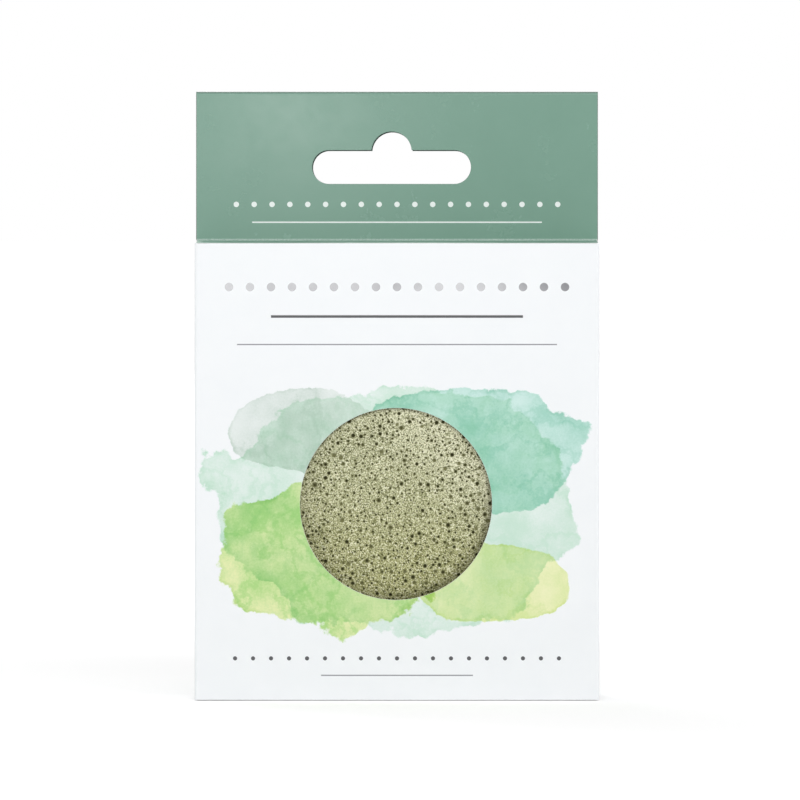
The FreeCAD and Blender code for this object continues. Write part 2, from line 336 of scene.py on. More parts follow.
def washed(tree, place, colour, pools):
    """Watercolour laid pool over pool on a colour."""
    for draw, (middle, reach, ragged, pale, deep) in enumerate(pools):
        inputs = {"Place": place, "Middle": (middle[0], 0.0, middle[1]), "Reach": (reach[0], 1.0, reach[1]),
                  "Ragged": ragged, "Draw": 3.7 * draw + 1.3}
        pool = add(tree, "ShaderNodeGroup", inputs, node_tree=wash).outputs
        pigment = tint(tree, pool["Depth"], pale, deep)
        pigment = tint(tree, number(tree, "MULTIPLY", pool["Rim"], 0.6), pigment, deep, "MULTIPLY")
        colour = tint(tree, pool["Cover"], colour, pigment, "MULTIPLY")
    return colour


# The front's print: a loose round wash about the window, rows of plain marks, one of them in silver foil
front_print, tree, shader, place, cloud, fibre = board_finish("front_print")
colour = washed(tree, place, white_coat(tree, cloud), [
    ((0.000, 0.0385), (0.0370, 0.0255), 0.75, (0.86, 0.94, 0.88), (0.62, 0.83, 0.68)),
    ((-0.013, 0.0290), (0.0250, 0.0150), 0.80, (0.92, 0.93, 0.50), (0.44, 0.73, 0.23)),
    ((0.014, 0.0500), (0.0245, 0.0140), 0.80, (0.68, 0.89, 0.82), (0.38, 0.70, 0.57)),
    ((0.019, 0.0235), (0.0150, 0.0085), 0.85, (0.97, 0.96, 0.58), (0.74, 0.85, 0.36)),
    ((-0.020, 0.0540), (0.0150, 0.0080), 0.90, (0.86, 0.90, 0.86), (0.60, 0.70, 0.62)),
])
DARK_INK, GREY_INK = (0.075, 0.075, 0.080), (0.260, 0.265, 0.275)
ink_rows = [
    (0.0768, 0.0252, 0.0600, 0.0300, 0.00026, DARK_INK),
    (0.0712, 0.0320, 0.0700, 0.0350, 0.00012, GREY_INK),
    (0.0084, 0.0342, 0.0036, 0.0000, 0.00042, DARK_INK),
    (0.0050, 0.0152, 0.0400, 0.0200, 0.00012, GREY_INK),
]
for *sizes, ink in ink_rows:
    colour = tint(tree, row(tree, place, *sizes), colour, ink)
foil = row(tree, place, 0.0827, 0.0358, 0.0042, 0.0000, 0.00085)
# The foil is metal and reflects, but its dark, mottled grey is painted reflection
foil_painted_reflection = rise(tree, mottle(tree, place, 42.0, 1.0), 0.35, 0.65)
colour = tint(tree, foil, colour, tint(tree, foil_painted_reflection, (0.17, 0.17, 0.18), (0.40, 0.40, 0.41)))
varnished(tree, shader, colour, cloud, fibre)
tree.links.new(number(tree, "MULTIPLY", foil, 0.85), shader.inputs["Metallic"])

# Raw inner face of the board: uncoated, greyish cream, with long fibres and stray dark specks
raw_board, tree, shader, place, cloud, fibre = board_finish("raw_board")
RAW_GREY, RAW_CREAM = (0.70, 0.67, 0.60), (0.80, 0.775, 0.71)
colour = tint(tree, cloud, RAW_GREY, RAW_CREAM)
colour = tint(tree, rise(tree, fibre, 0.42, 0.72, 0.0, 0.35), colour, (0.58, 0.54, 0.46))
speck = add(tree, "ShaderNodeTexVoronoi", {"Vector": place, "Scale": 420.0})
speck = number(tree, "MULTIPLY", rise(tree, speck.outputs["Distance"], 0.12, 0.05),
               rise(tree, fibre, 0.45, 0.55))
colour = tint(tree, speck, colour, (0.36, 0.32, 0.26))
surface(tree, shader, colour, rise(tree, fibre, 0.3, 0.7, 0.82, 0.95), fibre, 0.35)
shader.inputs["Specular IOR Level"].default_value = 0.25

# Cut edge of the board: pressed white plies with a little fluff
cut_edge, tree, shader, _, cloud, fibre = board_finish("cut_edge")
colour = tint(tree, rise(tree, fibre, 0.3, 0.7), (0.74, 0.745, 0.735), (0.90, 0.905, 0.90))
surface(tree, shader, colour, rise(tree, cloud, 0.3, 0.7, 0.78, 0.92), fibre, 0.4, 0.00008)


def dress(piece, printed, body=None, node=None, raw=raw_board, cut=cut_edge):
    """The board's three finishes, the body that carries it and the solid it stands for."""
    for material in (printed, raw, cut):
        piece.data.materials.append(material)
    if body:
        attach(piece, body)
    if node:
        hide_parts(node)


def punched_arc(middle, radius, count, start=0.0, turn=-2 * math.pi):
    """Points clockwise round an arc of a punched hole, whose edge is crisp."""
    steps = [start + turn * i / count for i in range(count)]
    return [(middle[0] + radius * math.cos(a), middle[1] + radius * math.sin(a), CRISP) for a in steps]


ALONG_X, ALONG_Y, ALONG_Z = Vector((1, 0, 0)), Vector((0, 1, 0)), Vector((0, 0, 1))
front_outline = [
    (-inner_half_width, front_low.z, SOFT),
    (inner_half_width, front_low.z, JOINED),
    (inner_half_width, carton_top, SOFT),
    (-inner_half_width, carton_top, JOINED),
]
window = punched_arc((window_shift, sponge_middle), window_radius, 180)
front_wall = board("front_wall", front_outline, Vector((0, front_low.y, 0)), ALONG_X, ALONG_Z,
                   holes=[window], swell=front_swell)
dress(front_wall, front_print, "carton", "front_panel")

# Side walls: plain white panels of the same blank. The left one covers the glue flap at the back corner,
# where its cut edge shows as the carton's side seam. Their top and bottom sides run on into the dust flaps.
left_low, left_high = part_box("left_side_panel")
dust_low, dust_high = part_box("top_dust_flap_right")
wall_bottom, wall_top = side_low.z, side_high.z
side_swell = 0.0002
plain_print, tree, shader, _, cloud, fibre = board_finish("plain_print")
varnished(tree, shader, white_coat(tree, cloud), cloud, fibre)


def side_outline(back, back_side):
    """A side wall seen from the right, lowered by one board where the dust flaps fold over."""
    low, high = wall_bottom + board_thickness, wall_top - board_thickness
    return [
        (side_low.y, wall_bottom, SOFT),
        (dust_low.y, wall_bottom, CRISP),
        (dust_low.y, low, JOINED),
        (dust_high.y, low, CRISP),
        (dust_high.y, wall_bottom, SOFT),
        (back, wall_bottom, back_side),
        (back, wall_top, SOFT),
        (dust_high.y, wall_top, CRISP),
        (dust_high.y, high, JOINED),
        (dust_low.y, high, CRISP),
        (dust_low.y, wall_top, SOFT),
        (side_low.y, wall_top, JOINED),
    ]


def mirrored(outline):
    """An outline as its mirror image, still anticlockwise, with each side's rounding kept."""
    sides = [side for _, _, side in outline[-2::-1]] + [outline[-1][2]]
    return [(-u, v, side) for (u, v, _), side in zip(outline[::-1], sides)]


side_walls = {
    "right": (side_outline(side_high.y, JOINED), side_high.x, ALONG_Y),
    "left": (mirrored(side_outline(left_high.y, SOFT)), left_low.x, -ALONG_Y),
}
for side, (outline, outer_x, across) in side_walls.items():
    wall = board(side + "_wall", outline, Vector((outer_x, 0, 0)), across, ALONG_Z, swell=side_swell)
    dress(wall, plain_print, "carton", side + "_side_panel")

# Back wall: one panel that carries on above the carton as the rear ply of the header.
# The green of the header wraps over the fold and ends on the back at the height of the lid.
# The hanging slot was punched a hair off the front ply's, so the rear ply peeps out at its edge.
back_low, back_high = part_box("back_panel")
glue_low, glue_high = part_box("glue_flap")
_, header_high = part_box("header_front_ply")
back_left = glue_high.x
slot_shift, slot_drop, punch_slip = -0.0011, 0.01517, 0.0002
slot_middle = (slot_shift, header_high.z - slot_drop)
half_wide, half_high, bump_radius, bump_lift = 0.0160, 0.0034, 0.00405, 0.0031
GREEN_PALE, GREEN_DEEP = (0.1645, 0.3163, 0.2415), (0.1625, 0.3137, 0.2390)


def slot_outline(shift_across=0.0, shift_up=0.0):
    """The hanging slot, clockwise: a bar with round ends and a round bump on its upper side."""
    u, v = slot_middle[0] + shift_across, slot_middle[1] + shift_up
    end = half_wide - half_high
    lean = math.asin((half_high - bump_lift) / bump_radius)
    right = punched_arc((u + end, v), half_high, 24, math.pi / 2, -math.pi)
    left = punched_arc((u - end, v), half_high, 24, -math.pi / 2, -math.pi)
    bump = punched_arc((u, v + bump_lift), bump_radius, 40, math.pi - lean, 2 * lean - math.pi)
    top_left = [(u - end, v + half_high, CRISP)]
    bump_end = [(u + bump_radius * math.cos(lean), v + half_high, CRISP)]
    low_right = [(u + end, v - half_high, CRISP)]
    return top_left + bump + bump_end + right + low_right + left


def green_ink(tree, cloud):
    """Full-tone green ink, faintly mottled."""
    return tint(tree, rise(tree, cloud, 0.3, 0.7), GREEN_DEEP, GREEN_PALE)


def with_height(tree, place, *steps):
    """A soft step with the height on the carton."""
    return rise(tree, add(tree, "ShaderNodeSeparateXYZ", {0: place}).outputs[2], *steps)


back_print, tree, shader, place, cloud, fibre = board_finish("back_print")
colour = white_coat(tree, cloud)
rule_reaches = [0.030] * 5 + [0.018]
rule_top, rule_gap = 0.066, 0.0042
for line, reach in enumerate(rule_reaches):
    ink = row(tree, place, rule_top - rule_gap * line, reach, 0.13, 0.06, 0.00016)
    colour = tint(tree, ink, colour, (0.30, 0.305, 0.315))
colour = washed(tree, place, colour, [
    ((0.0, 0.0215), (0.0300, 0.0115), 0.8, (0.70, 0.88, 0.80), (0.45, 0.74, 0.62)),
    ((0.010, 0.0190), (0.0180, 0.0075), 0.8, (0.85, 0.94, 0.55), (0.55, 0.78, 0.32)),
])
colour = tint(tree, with_height(tree, place, carton_top - 0.00005, carton_top + 0.00005), colour,
              green_ink(tree, cloud))
varnished(tree, shader, colour, cloud, fibre)
back_outline = [
    (-inner_half_width, board_thickness, JOINED),
    (-back_left, board_thickness, JOINED),
    (-back_left, carton_top, CRISP),
    (front_high.x, carton_top, SOFT),
    (front_high.x, back_high.z, JOINED),
    (front_low.x, back_high.z, SOFT),
    (front_low.x, carton_top, CRISP),
    (-inner_half_width, carton_top, JOINED),
]
back_wall = board("back_wall", back_outline, Vector((0, back_high.y, 0)), -ALONG_X, ALONG_Z,
                  holes=[mirrored(slot_outline(punch_slip, -punch_slip))])

# Painted shade: the raw side of the rear ply is painted near-black green above the lid, for the sliver of it
# that shows in the slot
slot_shade_raw, tree, shader, place, cloud, fibre = board_finish("slot_shade_raw")
colour = tint(tree, cloud, RAW_GREY, RAW_CREAM)
colour = tint(tree, with_height(tree, place, carton_top, carton_top + 0.0005), colour,
              tint(tree, fibre, (0.028, 0.050, 0.040), (0.050, 0.082, 0.066)))
surface(tree, shader, colour, rise(tree, fibre, 0.3, 0.7, 0.82, 0.95))
shader.inputs["Specular IOR Level"].default_value = 0.2
dress(back_wall, back_print, "carton", "back_panel", raw=slot_shade_raw)

# Upright creases: the blank is scored and folded square, so each corner is a bent strip of board.
# The printed side stretches over the fold, and at the back left the strip turns into the glue flap.


def crease(name, section, kinds, along, low, high, pieces):
    """A bent strip: a closed section drawn along one axis. kinds tells which finish each side of it has."""
    order = {"X": (2, 0, 1), "Y": (0, 2, 1), "Z": (0, 1, 2)}[along]
    strip = bmesh.new()
    rings = []
    for step in range(pieces + 1):
        at = low + (high - low) * step / pieces
        rings.append([strip.verts.new([(a, b, at)[i] for i in order]) for a, b in section])
    count = len(section)
    for ring, following in zip(rings, rings[1:]):
        for here in range(count):
            after = (here + 1) % count
            face = strip.faces.new((ring[here], ring[after], following[after], following[here]))
            face.material_index = kinds[here]
            face.smooth = True
    for ring in (rings[0], rings[-1]):
        strip.faces.new(ring).material_index = CUT
    bmesh.ops.recalc_face_normals(strip, faces=strip.faces)
    mesh = bpy.data.meshes.new(name)
    strip.to_mesh(mesh)
    strip.free()
    mesh.set_sharp_from_angle(angle=math.radians(40))
    return placed(name, mesh)


def bend(middle, radius, start, end, steps=8):
    """Points of an arc in a crease's section, with angles in degrees."""
    angles = [math.radians(start + (end - start) * i / steps) for i in range(steps + 1)]
    return [(middle[0] + radius * math.cos(a), middle[1] + radius * math.sin(a)) for a in angles]


corners = {
    "front_left": ((-inner_half_width, front_high.y), 180, 270),
    "front_right": ((inner_half_width, front_high.y), 270, 360),
    "back_right": ((inner_half_width, back_low.y), 0, 90),
    "back_left": ((back_left, back_low.y), 90, 180),
}
for corner, (middle, start, end) in corners.items():
    section = [middle] + bend(middle, board_thickness, start, end)
    kinds = [CUT] + [PRINTED] * 8 + [CUT]
    low = 0.0 if corner.startswith("front") else board_thickness
    strip = crease("crease_" + corner, section, kinds, "Z", low, carton_top, 24)
    dress(strip, plain_print, "carton")

# Glue flap: a tapered strip of the back wall, folded forward inside the left wall and glued to it.
# Its outer face is printed white and holds a film of dried glue.
flap_taper = 0.004
flap_outline = [
    (-glue_high.y, glue_low.z, CRISP),
    (-glue_low.y, glue_low.z + flap_taper, CRISP),
    (-glue_low.y, glue_high.z - flap_taper, CRISP),
    (-glue_high.y, glue_high.z, JOINED),
]
glue_flap = board("glue_flap_board", flap_outline, Vector((glue_low.x, 0, 0)), -ALONG_Y, ALONG_Z)
dress(glue_flap, plain_print, "carton", "glue_flap")
dried_glue, tree, shader, _, cloud, _ = board_finish("dried_glue")
colour = tint(tree, cloud, (0.66, 0.61, 0.47), (0.80, 0.77, 0.66))
surface(tree, shader, colour, rise(tree, cloud, 0.3, 0.7, 0.25, 0.5))
for node in ("side_seam_glue", "header_glue"):
    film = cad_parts[node].data.materials
    film.clear()
    film.append(dried_glue)

# Header: the front ply carries on down into the lid and rolls over the rear ply at the top.
# Both plies are glued together. The ink is full-tone green with rows of white marks left open in it.
film_low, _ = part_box("header_glue")
header_front = film_low.y - board_thickness
header_back = film_low.y
bead, pale_fold_width = 0.0002, 0.0003
fold_top = back_high.z
PALE_FOLD_INK = (0.52, 0.62, 0.57)
header_print, tree, shader, place, cloud, fibre = board_finish("header_print")
colour = green_ink(tree, cloud)
for sizes in ((0.0988, 0.0340, 0.0036, 0.0000, 0.00055), (0.0952, 0.0292, 0.0700, 0.0350, 0.00014)):
    colour = tint(tree, row(tree, place, *sizes), colour, (0.86, 0.90, 0.88))
# A paler, broken line along the crease bead at the foot of the header
pale_fold = with_height(tree, place, carton_top + bead + pale_fold_width, carton_top + bead)
pale_fold = number(tree, "MULTIPLY", pale_fold, rise(tree, fibre, 0.28, 0.62, 0.20, 0.75))
colour = tint(tree, pale_fold, colour, PALE_FOLD_INK)
varnished(tree, shader, colour, cloud, fibre, sheen=(0.23, 0.28), tooth=0.03)
header_outline = [
    (front_low.x, carton_top + bead, JOINED),
    (front_high.x, carton_top + bead, SOFT),
    (front_high.x, fold_top, JOINED),
    (front_low.x, fold_top, SOFT),
]
header_ply = board("header_ply", header_outline, Vector((0, header_front, 0)), ALONG_X, ALONG_Z,
                   holes=[slot_outline()])

# Cut edges of the header, painted a dark green-grey: painted shade along the edges
shaded_header_cut, tree, shader, _, _, fibre = board_finish("shaded_header_cut")
colour = tint(tree, rise(tree, fibre, 0.3, 0.7), (0.150, 0.205, 0.178), (0.230, 0.285, 0.258))
surface(tree, shader, colour, rise(tree, fibre, 0.3, 0.7, 0.7, 0.9))
dress(header_ply, header_print, "carton", "header_front_ply", cut=shaded_header_cut)
roll_middle = ((header_front + back_high.y) / 2, fold_top)
roll_radius = (back_high.y - header_front) / 2
section = bend(roll_middle, roll_radius, 180, 0, 14)
section += bend(roll_middle, roll_radius - board_thickness, 0, 180, 8)
kinds = [PRINTED] * 14 + [CUT] + [RAW] * 8 + [CUT]
header_roll = crease("header_roll", section, kinds, "X", front_low.x, front_high.x, 30)

# Ink over the roll is painted darker and greyer towards its top: painted shade
roll_print, tree, shader, place, cloud, fibre = board_finish("roll_print")
roll_top_shade = with_height(tree, place, fold_top + 0.0001, fold_top + 0.0005, 0.0, 0.85)
colour = tint(tree, roll_top_shade, green_ink(tree, cloud), (0.150, 0.215, 0.184))
varnished(tree, shader, colour, cloud, fibre, sheen=(0.34, 0.46), tooth=0.05)
dress(header_roll, roll_print, "carton", cut=shaded_header_cut)

# Closures: each end has a lid hinged at the back, a tuck flap that slides in behind the front wall, and two
# dust flaps folded in from the side walls. Each meets its panel at a crease in the board, drawn as a bent
# strip.
lid_low, lid_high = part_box("top_lid")
_, tuck_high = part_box("top_tuck_flap")
_, bottom_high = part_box("bottom_lid")
lid_half = lid_high.x
tuck_out = lid_low.y
tuck_in = tuck_out + board_thickness
tuck_half = tuck_high.x
tuck_depth, tuck_taper, tuck_radius, tuck_lean = 0.012, 0.0022, 0.006, math.radians(4)
slit_length, slit_width, crease_gap = 0.008, 0.0008, 0.0001
dust_root, dust_tip = dust_high.x, dust_low.x
dust_length = dust_root - dust_tip
dust_back_slope, dust_front_slope, dust_radius = 0.85, 0.28, 0.002
FOLDED = [CUT] + [PRINTED] * 9 + [CUT, RAW]
green_print, tree, shader, _, cloud, fibre = board_finish("green_print")
varnished(tree, shader, green_ink(tree, cloud), cloud, fibre, sheen=(0.32, 0.42), tooth=0.05)

# Where the lid folds, the green is paler in a broken line along the crease
pale_fold_print, tree, shader, place, cloud, fibre = board_finish("pale_fold_print")
pale_fold = with_height(tree, place, carton_top - 0.00002, carton_top + 0.00006)
pale_fold = number(tree, "MULTIPLY", pale_fold, rise(tree, fibre, 0.28, 0.62, 0.25, 0.85))
colour = tint(tree, pale_fold, green_ink(tree, cloud), PALE_FOLD_INK)
varnished(tree, shader, colour, cloud, fibre, sheen=(0.42, 0.56), tooth=0.08)


def rounded(corners, steps=10):
    """An outline from (across, up, radius, rounding of the next side) corners; a radius gives an arc."""
    outline = []
    for here, (u, v, radius, side) in enumerate(corners):
        if radius == 0:
            outline.append((u, v, side))
            continue
        corner = Vector((u, v))
        to_last = (Vector(corners[here - 1][:2]) - corner).normalized()
        to_next = (Vector(corners[(here + 1) % len(corners)][:2]) - corner).normalized()
        half_angle = to_last.angle(to_next) / 2
        middle = corner + (to_last + to_next).normalized() * (radius / math.sin(half_angle))
        start = corner + to_last * (radius / math.tan(half_angle)) - middle
        sweep = math.pi - 2 * half_angle
        for step in range(steps + 1):
            spoke = Matrix.Rotation(sweep * step / steps, 2) @ start
            outline.append((*(middle + spoke), side))
    return outline


for end in ("top", "bottom"):
    top = end == "top"
    inward = -1 if top else 1
    outer_z = carton_top if top else 0.0
    inner_z = outer_z + inward * board_thickness
    finish, slot = (green_print, "green_board") if top else (plain_print, "white_board")
    across = ALONG_X if top else -ALONG_X
    lid_body, tuck_body = end + "_lid", end + "_tuck"
    hinge_end = lid_high.y if top else bottom_high.y
    shoulder = tuck_half - slit_length

    lid_outline = [
        (-lid_half, tuck_out, SOFT),
        (-shoulder, tuck_out, CRISP),
        (-shoulder, tuck_in, JOINED),
        (shoulder, tuck_in, CRISP),
        (shoulder, tuck_out, SOFT),
        (lid_half, tuck_out, SOFT),
        (lid_half, hinge_end, JOINED),
        (-lid_half, hinge_end, SOFT),
    ]
    lid = board(end + "_lid_board", lid_outline, Vector((0, 0, outer_z)), across, ALONG_Y)
    dress(lid, finish, lid_body, end + "_lid")

    flap_up = Vector((0, inward * math.sin(tuck_lean), math.cos(tuck_lean)))
    flap_out = ALONG_X.cross(flap_up)
    lowered = crease_gap + slit_width
    right_half = [
        (shoulder, crease_gap, 0, CRISP),
        (shoulder, lowered, 0, CRISP),
        (tuck_half, lowered, 0, SOFT),
        (tuck_half - tuck_taper, tuck_depth, tuck_radius, SOFT),
    ]
    left_half = [
        (tuck_taper - tuck_half, tuck_depth, tuck_radius, SOFT),
        (-tuck_half, lowered, 0, CRISP),
        (-shoulder, lowered, 0, CRISP),
        (-shoulder, crease_gap, 0, JOINED),
    ]
    flap = rounded(right_half + left_half)
    if top:
        flap = mirrored([(-u, -v, side) for u, v, side in flap])
    tuck_origin = Vector((0, tuck_in, inner_z)) + flap_out * board_thickness
    tuck = board(end + "_tuck_board", flap, tuck_origin, ALONG_X, flap_up)
    dress(tuck, finish, tuck_body, end + "_tuck_flap")

    turned = [(y, -inward * z) for y, z in bend((0, 0), board_thickness, 90, 180 + math.degrees(tuck_lean))]
    down = Vector((flap_up.y, flap_up.z)) * (inward * crease_gap)
    front_skin = Vector((flap_out.y, flap_out.z)) * board_thickness + down
    section = [(0, 0)] + turned + [tuple(front_skin), tuple(down)]
    section = [(tuck_in + y, inner_z + z) for y, z in section]
    strip = crease(end + "_tuck_crease", section, FOLDED, "X", -shoulder, shoulder, 20)
    dress(strip, finish)
    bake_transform(strip)

    if top:
        fold = (header_front, carton_top)
        section = [(header_front, carton_top + bead)] + bend(fold, bead, 90, 180)[1:]
        section += [(hinge_end, outer_z), (hinge_end, inner_z)] + bend(fold, board_thickness, 270, 360)
        section += [(header_back, carton_top + bead)]
        kinds = [PRINTED] * 9 + [CUT] + [RAW] * 10 + [CUT]
        start = (0, (header_front + header_back) / 2, carton_top + bead)
    else:
        fold = (back_low.y, board_thickness)
        section = [fold] + bend(fold, board_thickness, 360, 270)
        section += [(hinge_end, outer_z), (hinge_end, inner_z)]
        kinds = FOLDED
        start = (0, (back_low.y + back_high.y) / 2, board_thickness)
    strip = crease(end + "_lid_crease", section, kinds, "X", -lid_half, lid_half, 24)
    dress(strip, pale_fold_print if top else finish)
    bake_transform(strip)

    flap_z = wall_top if top else wall_bottom
    flap_inner = flap_z + inward * board_thickness
    for side, sign in (("left", -1), ("right", 1)):
        body = f"{end}_dust_{side}"
        flap = rounded([
            (dust_tip, dust_low.y + dust_front_slope * dust_length, dust_radius, SOFT),
            (dust_root, dust_low.y, 0, JOINED),
            (dust_root, dust_high.y, 0, SOFT),
            (dust_tip, dust_high.y - dust_back_slope * dust_length, dust_radius, SOFT),
        ])
        if (side == "left") == top:
            flap = mirrored(flap)
        dust = board(body + "_board", flap, Vector((0, 0, flap_z)), across, ALONG_Y)
        dress(dust, plain_print, body, f"{end}_dust_flap_{side}")
        fold = (sign * inner_half_width, flap_inner)
        turn = bend((0, 0), board_thickness, 180, 90)
        turn = [(fold[0] - sign * a, fold[1] - inward * b) for a, b in turn]
        section = [fold] + turn + [(sign * dust_root, flap_z), (sign * dust_root, flap_inner)]
        strip = crease(body + "_crease", section, FOLDED, "Y", dust_low.y, dust_high.y, 12)
        dress(strip, plain_print)
        start = (sign * (inner_half_width + board_thickness / 2), 0, flap_inner)
        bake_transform(strip)

# Konjac sponge: a soft puff of foamed root starch with green clay, domed towards the window and flattened
# a little by the front wall. Fine closed cells fill its skin, with open pores scattered between them.
# It stands loose in the carton on its lower rim.
sponge_radius = (sponge_high.z - sponge_low.z) / 2
bulge = 0.00045
crown = sponge_low.y - bulge
sponge_depth = sponge_high.y - crown
dome_radius, front_rim, back_rim = 0.240, 0.019, 0.008
dome_end = math.asin((sponge_radius - front_rim) / (dome_radius - front_rim))
dome_rise = (dome_radius - front_rim) * (1 - math.cos(dome_end))
skirt = sponge_depth - dome_rise - front_rim - back_rim
STRAIGHT = math.inf
stretches = [
    (dome_radius * dome_end, dome_radius),
    (front_rim * (math.pi / 2 - dome_end), front_rim),
    (skirt, STRAIGHT),
    (back_rim * math.pi / 2, back_rim),
    (sponge_radius - back_rim, STRAIGHT),
]
section_length = sum(stretch for stretch, _ in stretches)


def sponge_profile(length):
    """Distance from the axis, depth behind the crown and slope of the skin, at a length along the section."""
    radius = depth = slope = 0.0
    for stretch, curve in stretches:
        part = min(length, stretch)
        length -= part
        turned = slope + part / curve
        if turned == slope:
            radius += part * math.cos(slope)
            depth += part * math.sin(slope)
        else:
            radius += curve * (math.sin(turned) - math.sin(slope))
            depth += curve * (math.cos(slope) - math.cos(turned))
        slope = turned
    return radius, depth, slope


fine_rings, fine_reach = 140, 0.0206
front_weave, back_weave, weave_change, last_ring = 0.0006, 0.002, 0.052, 0.0022
ring_sizes = [0.0] + [fine_reach * (i + 1) / fine_rings for i in range(fine_rings)]
ring_counts = [1] + [6 * (i + 1) for i in range(fine_rings)]
coarse_count = 400
length, step = fine_reach, 0.0004
while length < section_length - last_ring:
    length += step
    step = min(step * 1.06, front_weave if length < weave_change else back_weave)
    ring_sizes.append(length)
    ring_counts.append(coarse_count)
ring_sizes.append(section_length)
ring_counts.append(1)

points, outward, ring_starts = [], [], []
for size, count in zip(ring_sizes, ring_counts):
    radius, depth, slope = sponge_profile(size)
    ring_starts.append(len(points))
    for i in range(count):
        angle = 2 * math.pi * i / count
        points.append((radius * math.cos(angle), crown + depth, sponge_middle + radius * math.sin(angle)))
        lean = math.sin(slope)
        outward.append((lean * math.cos(angle), -math.cos(slope), lean * math.sin(angle)))

skin_faces = []
for ring in range(len(ring_sizes) - 1):
    here, after = ring_counts[ring], ring_counts[ring + 1]
    start, following = ring_starts[ring], ring_starts[ring + 1]
    i, j = int(here == 1), int(after == 1)
    while i < here or j < after:
        if j < after and (i >= here or (j + 0.5) / after < (i + 0.5) / here):
            skin_faces.append((start + i % here, following + j, following + (j + 1) % after))
            j += 1
        else:
            skin_faces.append((start + i, following + j % after, start + (i + 1) % here))
            i += 1

points, outward = np.array(points), np.array(outward)
lump_depth, lump_scale = 0.00022, 60
crumb_depth, crumb_scale = 0.00004, 2400
lumps = np.array([noise.noise(Vector(p) * lump_scale) for p in points])
crumb = np.array([noise.noise(Vector(p) * crumb_scale) for p in points])
sink = -lump_depth * lumps - crumb_depth * crumb + lump_depth


def eased(value, low, high):
    """A soft step of an array from 0 to 1 between low and high."""
    share = np.clip((value - low) / (high - low), 0, 1)
    return share**2 * (3 - 2 * share)


# Its face leans forward at the top, and the wall round the window holds back most of that lean
lean_forward, lean_right, lean_fade, most_held = 0.040, 0.010, 0.0065, 0.7
rightward, upward = points[:, 0], points[:, 2] - sponge_middle
from_axis = np.hypot(rightward, upward)
held_back = most_held * eased(from_axis, fine_reach, fine_reach + lean_fade)
points[:, 1] -= (1 - held_back) * (lean_right * rightward + lean_forward * upward)

# Along the lower right of the window's rim the foam falls away from the wall, which leaves a dark gap
fall_depth, fall_inner, fall_outer = 0.0017, (0.0170, 0.0215), (0.024, 0.034)
lower_right = (rightward - upward) / (math.sqrt(2) * np.maximum(from_axis, 1e-6))
falls_away = eased(from_axis, *fall_inner) * (1 - eased(from_axis, *fall_outer))
falls_away *= fall_depth * eased(lower_right, 0.15, 0.95) * (outward[:, 1] < 0)

# Open pores: round and apart from each other in the window, larger and fewer on the rest of the skin
draw = np.random.default_rng(31)
tree_of_points = kdtree.KDTree(len(points))
for i, p in enumerate(points):
    tree_of_points.insert(p, i)
tree_of_points.balance()
openness = np.zeros(len(points))


def open_pore(centre, radius, deep, dark):
    """Sinks the skin into a round pore, deep at its middle, and notes how dark each point inside it is
    painted, as painted shade.
    """
    for _, i, away in tree_of_points.find_range(centre, radius):
        share = 1 - (away / radius) ** 2
        openness[i] = max(openness[i], dark * share**0.5)
        sink[i] = max(sink[i], sink_before[i] + deep * share**0.7)


sink_before = sink.copy()
pore_sizes = ((40, 0.00042, 0.00058, 0.40, 0.85), (160, 0.00030, 0.00046, 0.60, 1.00),
              (560, 0.00019, 0.00029, 0.72, 1.00))
pore_wall = 0.00006
pores = []
for count, smallest, largest, palest, darkest in pore_sizes:
    wanted = len(pores) + count
    while len(pores) < wanted:
        across, up = draw.uniform(-fine_reach, fine_reach, 2)
        from_middle = math.hypot(across, up) / fine_reach
        crowded = 0.5 + 0.5 * from_middle**2
        radius = draw.uniform(smallest, largest)
        if from_middle > 1 or draw.uniform() > crowded:
            continue
        if any(math.hypot(across - a, up - b) < radius + r + pore_wall for a, b, r in pores):
            continue
        pores.append((across, up, radius))
        depth = dome_radius - math.sqrt(dome_radius**2 - across**2 - up**2)
        depth -= lean_right * across + lean_forward * up
        dark = draw.uniform(palest, darkest)
        open_pore((across, crown + depth, sponge_middle + up), radius, 1.2 * dark * radius, dark)
outer_points, outer_pores = ring_starts[fine_rings + 2], 1000
for i in draw.integers(outer_points, len(points), outer_pores):
    radius = draw.uniform(0.0004, 0.0007)
    open_pore(points[i], radius, 0.9 * radius, draw.uniform(0.5, 1.0))

points[:, 1] += falls_away
mesh = bpy.data.meshes.new("sponge_puff")
mesh.from_pydata((points - outward * sink[:, None]).tolist(), [], skin_faces)
mesh.polygons.foreach_set("use_smooth", [True] * len(mesh.polygons))
mesh.attributes.new("openness", "FLOAT", "POINT").data.foreach_set("value", openness.astype(np.float32))
sponge = placed("sponge_puff", mesh)

# Foam: pale green and patchy, yellower low down, dark inside its pores and pinholes.
# Low down it is also darker, as painted shade; towards the upper right it is painted lighter, as painted
# light;
# the dark inside the pores and pinholes is painted shade.
sponge_foam, tree, shader, place = finish_of("sponge_foam")
pore = add(tree, "ShaderNodeAttribute", attribute_name="openness").outputs["Fac"]
patch = mottle(tree, place, 130.0, 4.0, 0.6)
stain = mottle(tree, place, 520.0, 3.0, 0.55)
grain = mottle(tree, place, 3900.0, 2.0, 0.65)


def pinholes(spacing, radius, share):
    """Round pinholes about a spacing apart, in a share of the places for them."""
    cell = add(tree, "ShaderNodeTexVoronoi", {"Vector": place, "Scale": 1 / spacing})
    chosen = add(tree, "ShaderNodeSeparateColor", {0: cell.outputs["Color"]}).outputs[0]
    wide = radius / spacing
    hole = rise(tree, cell.outputs["Distance"], 1.3 * wide, 0.7 * wide)
    return number(tree, "MULTIPLY", hole, rise(tree, chosen, 0.97 - share, 1.03 - share))


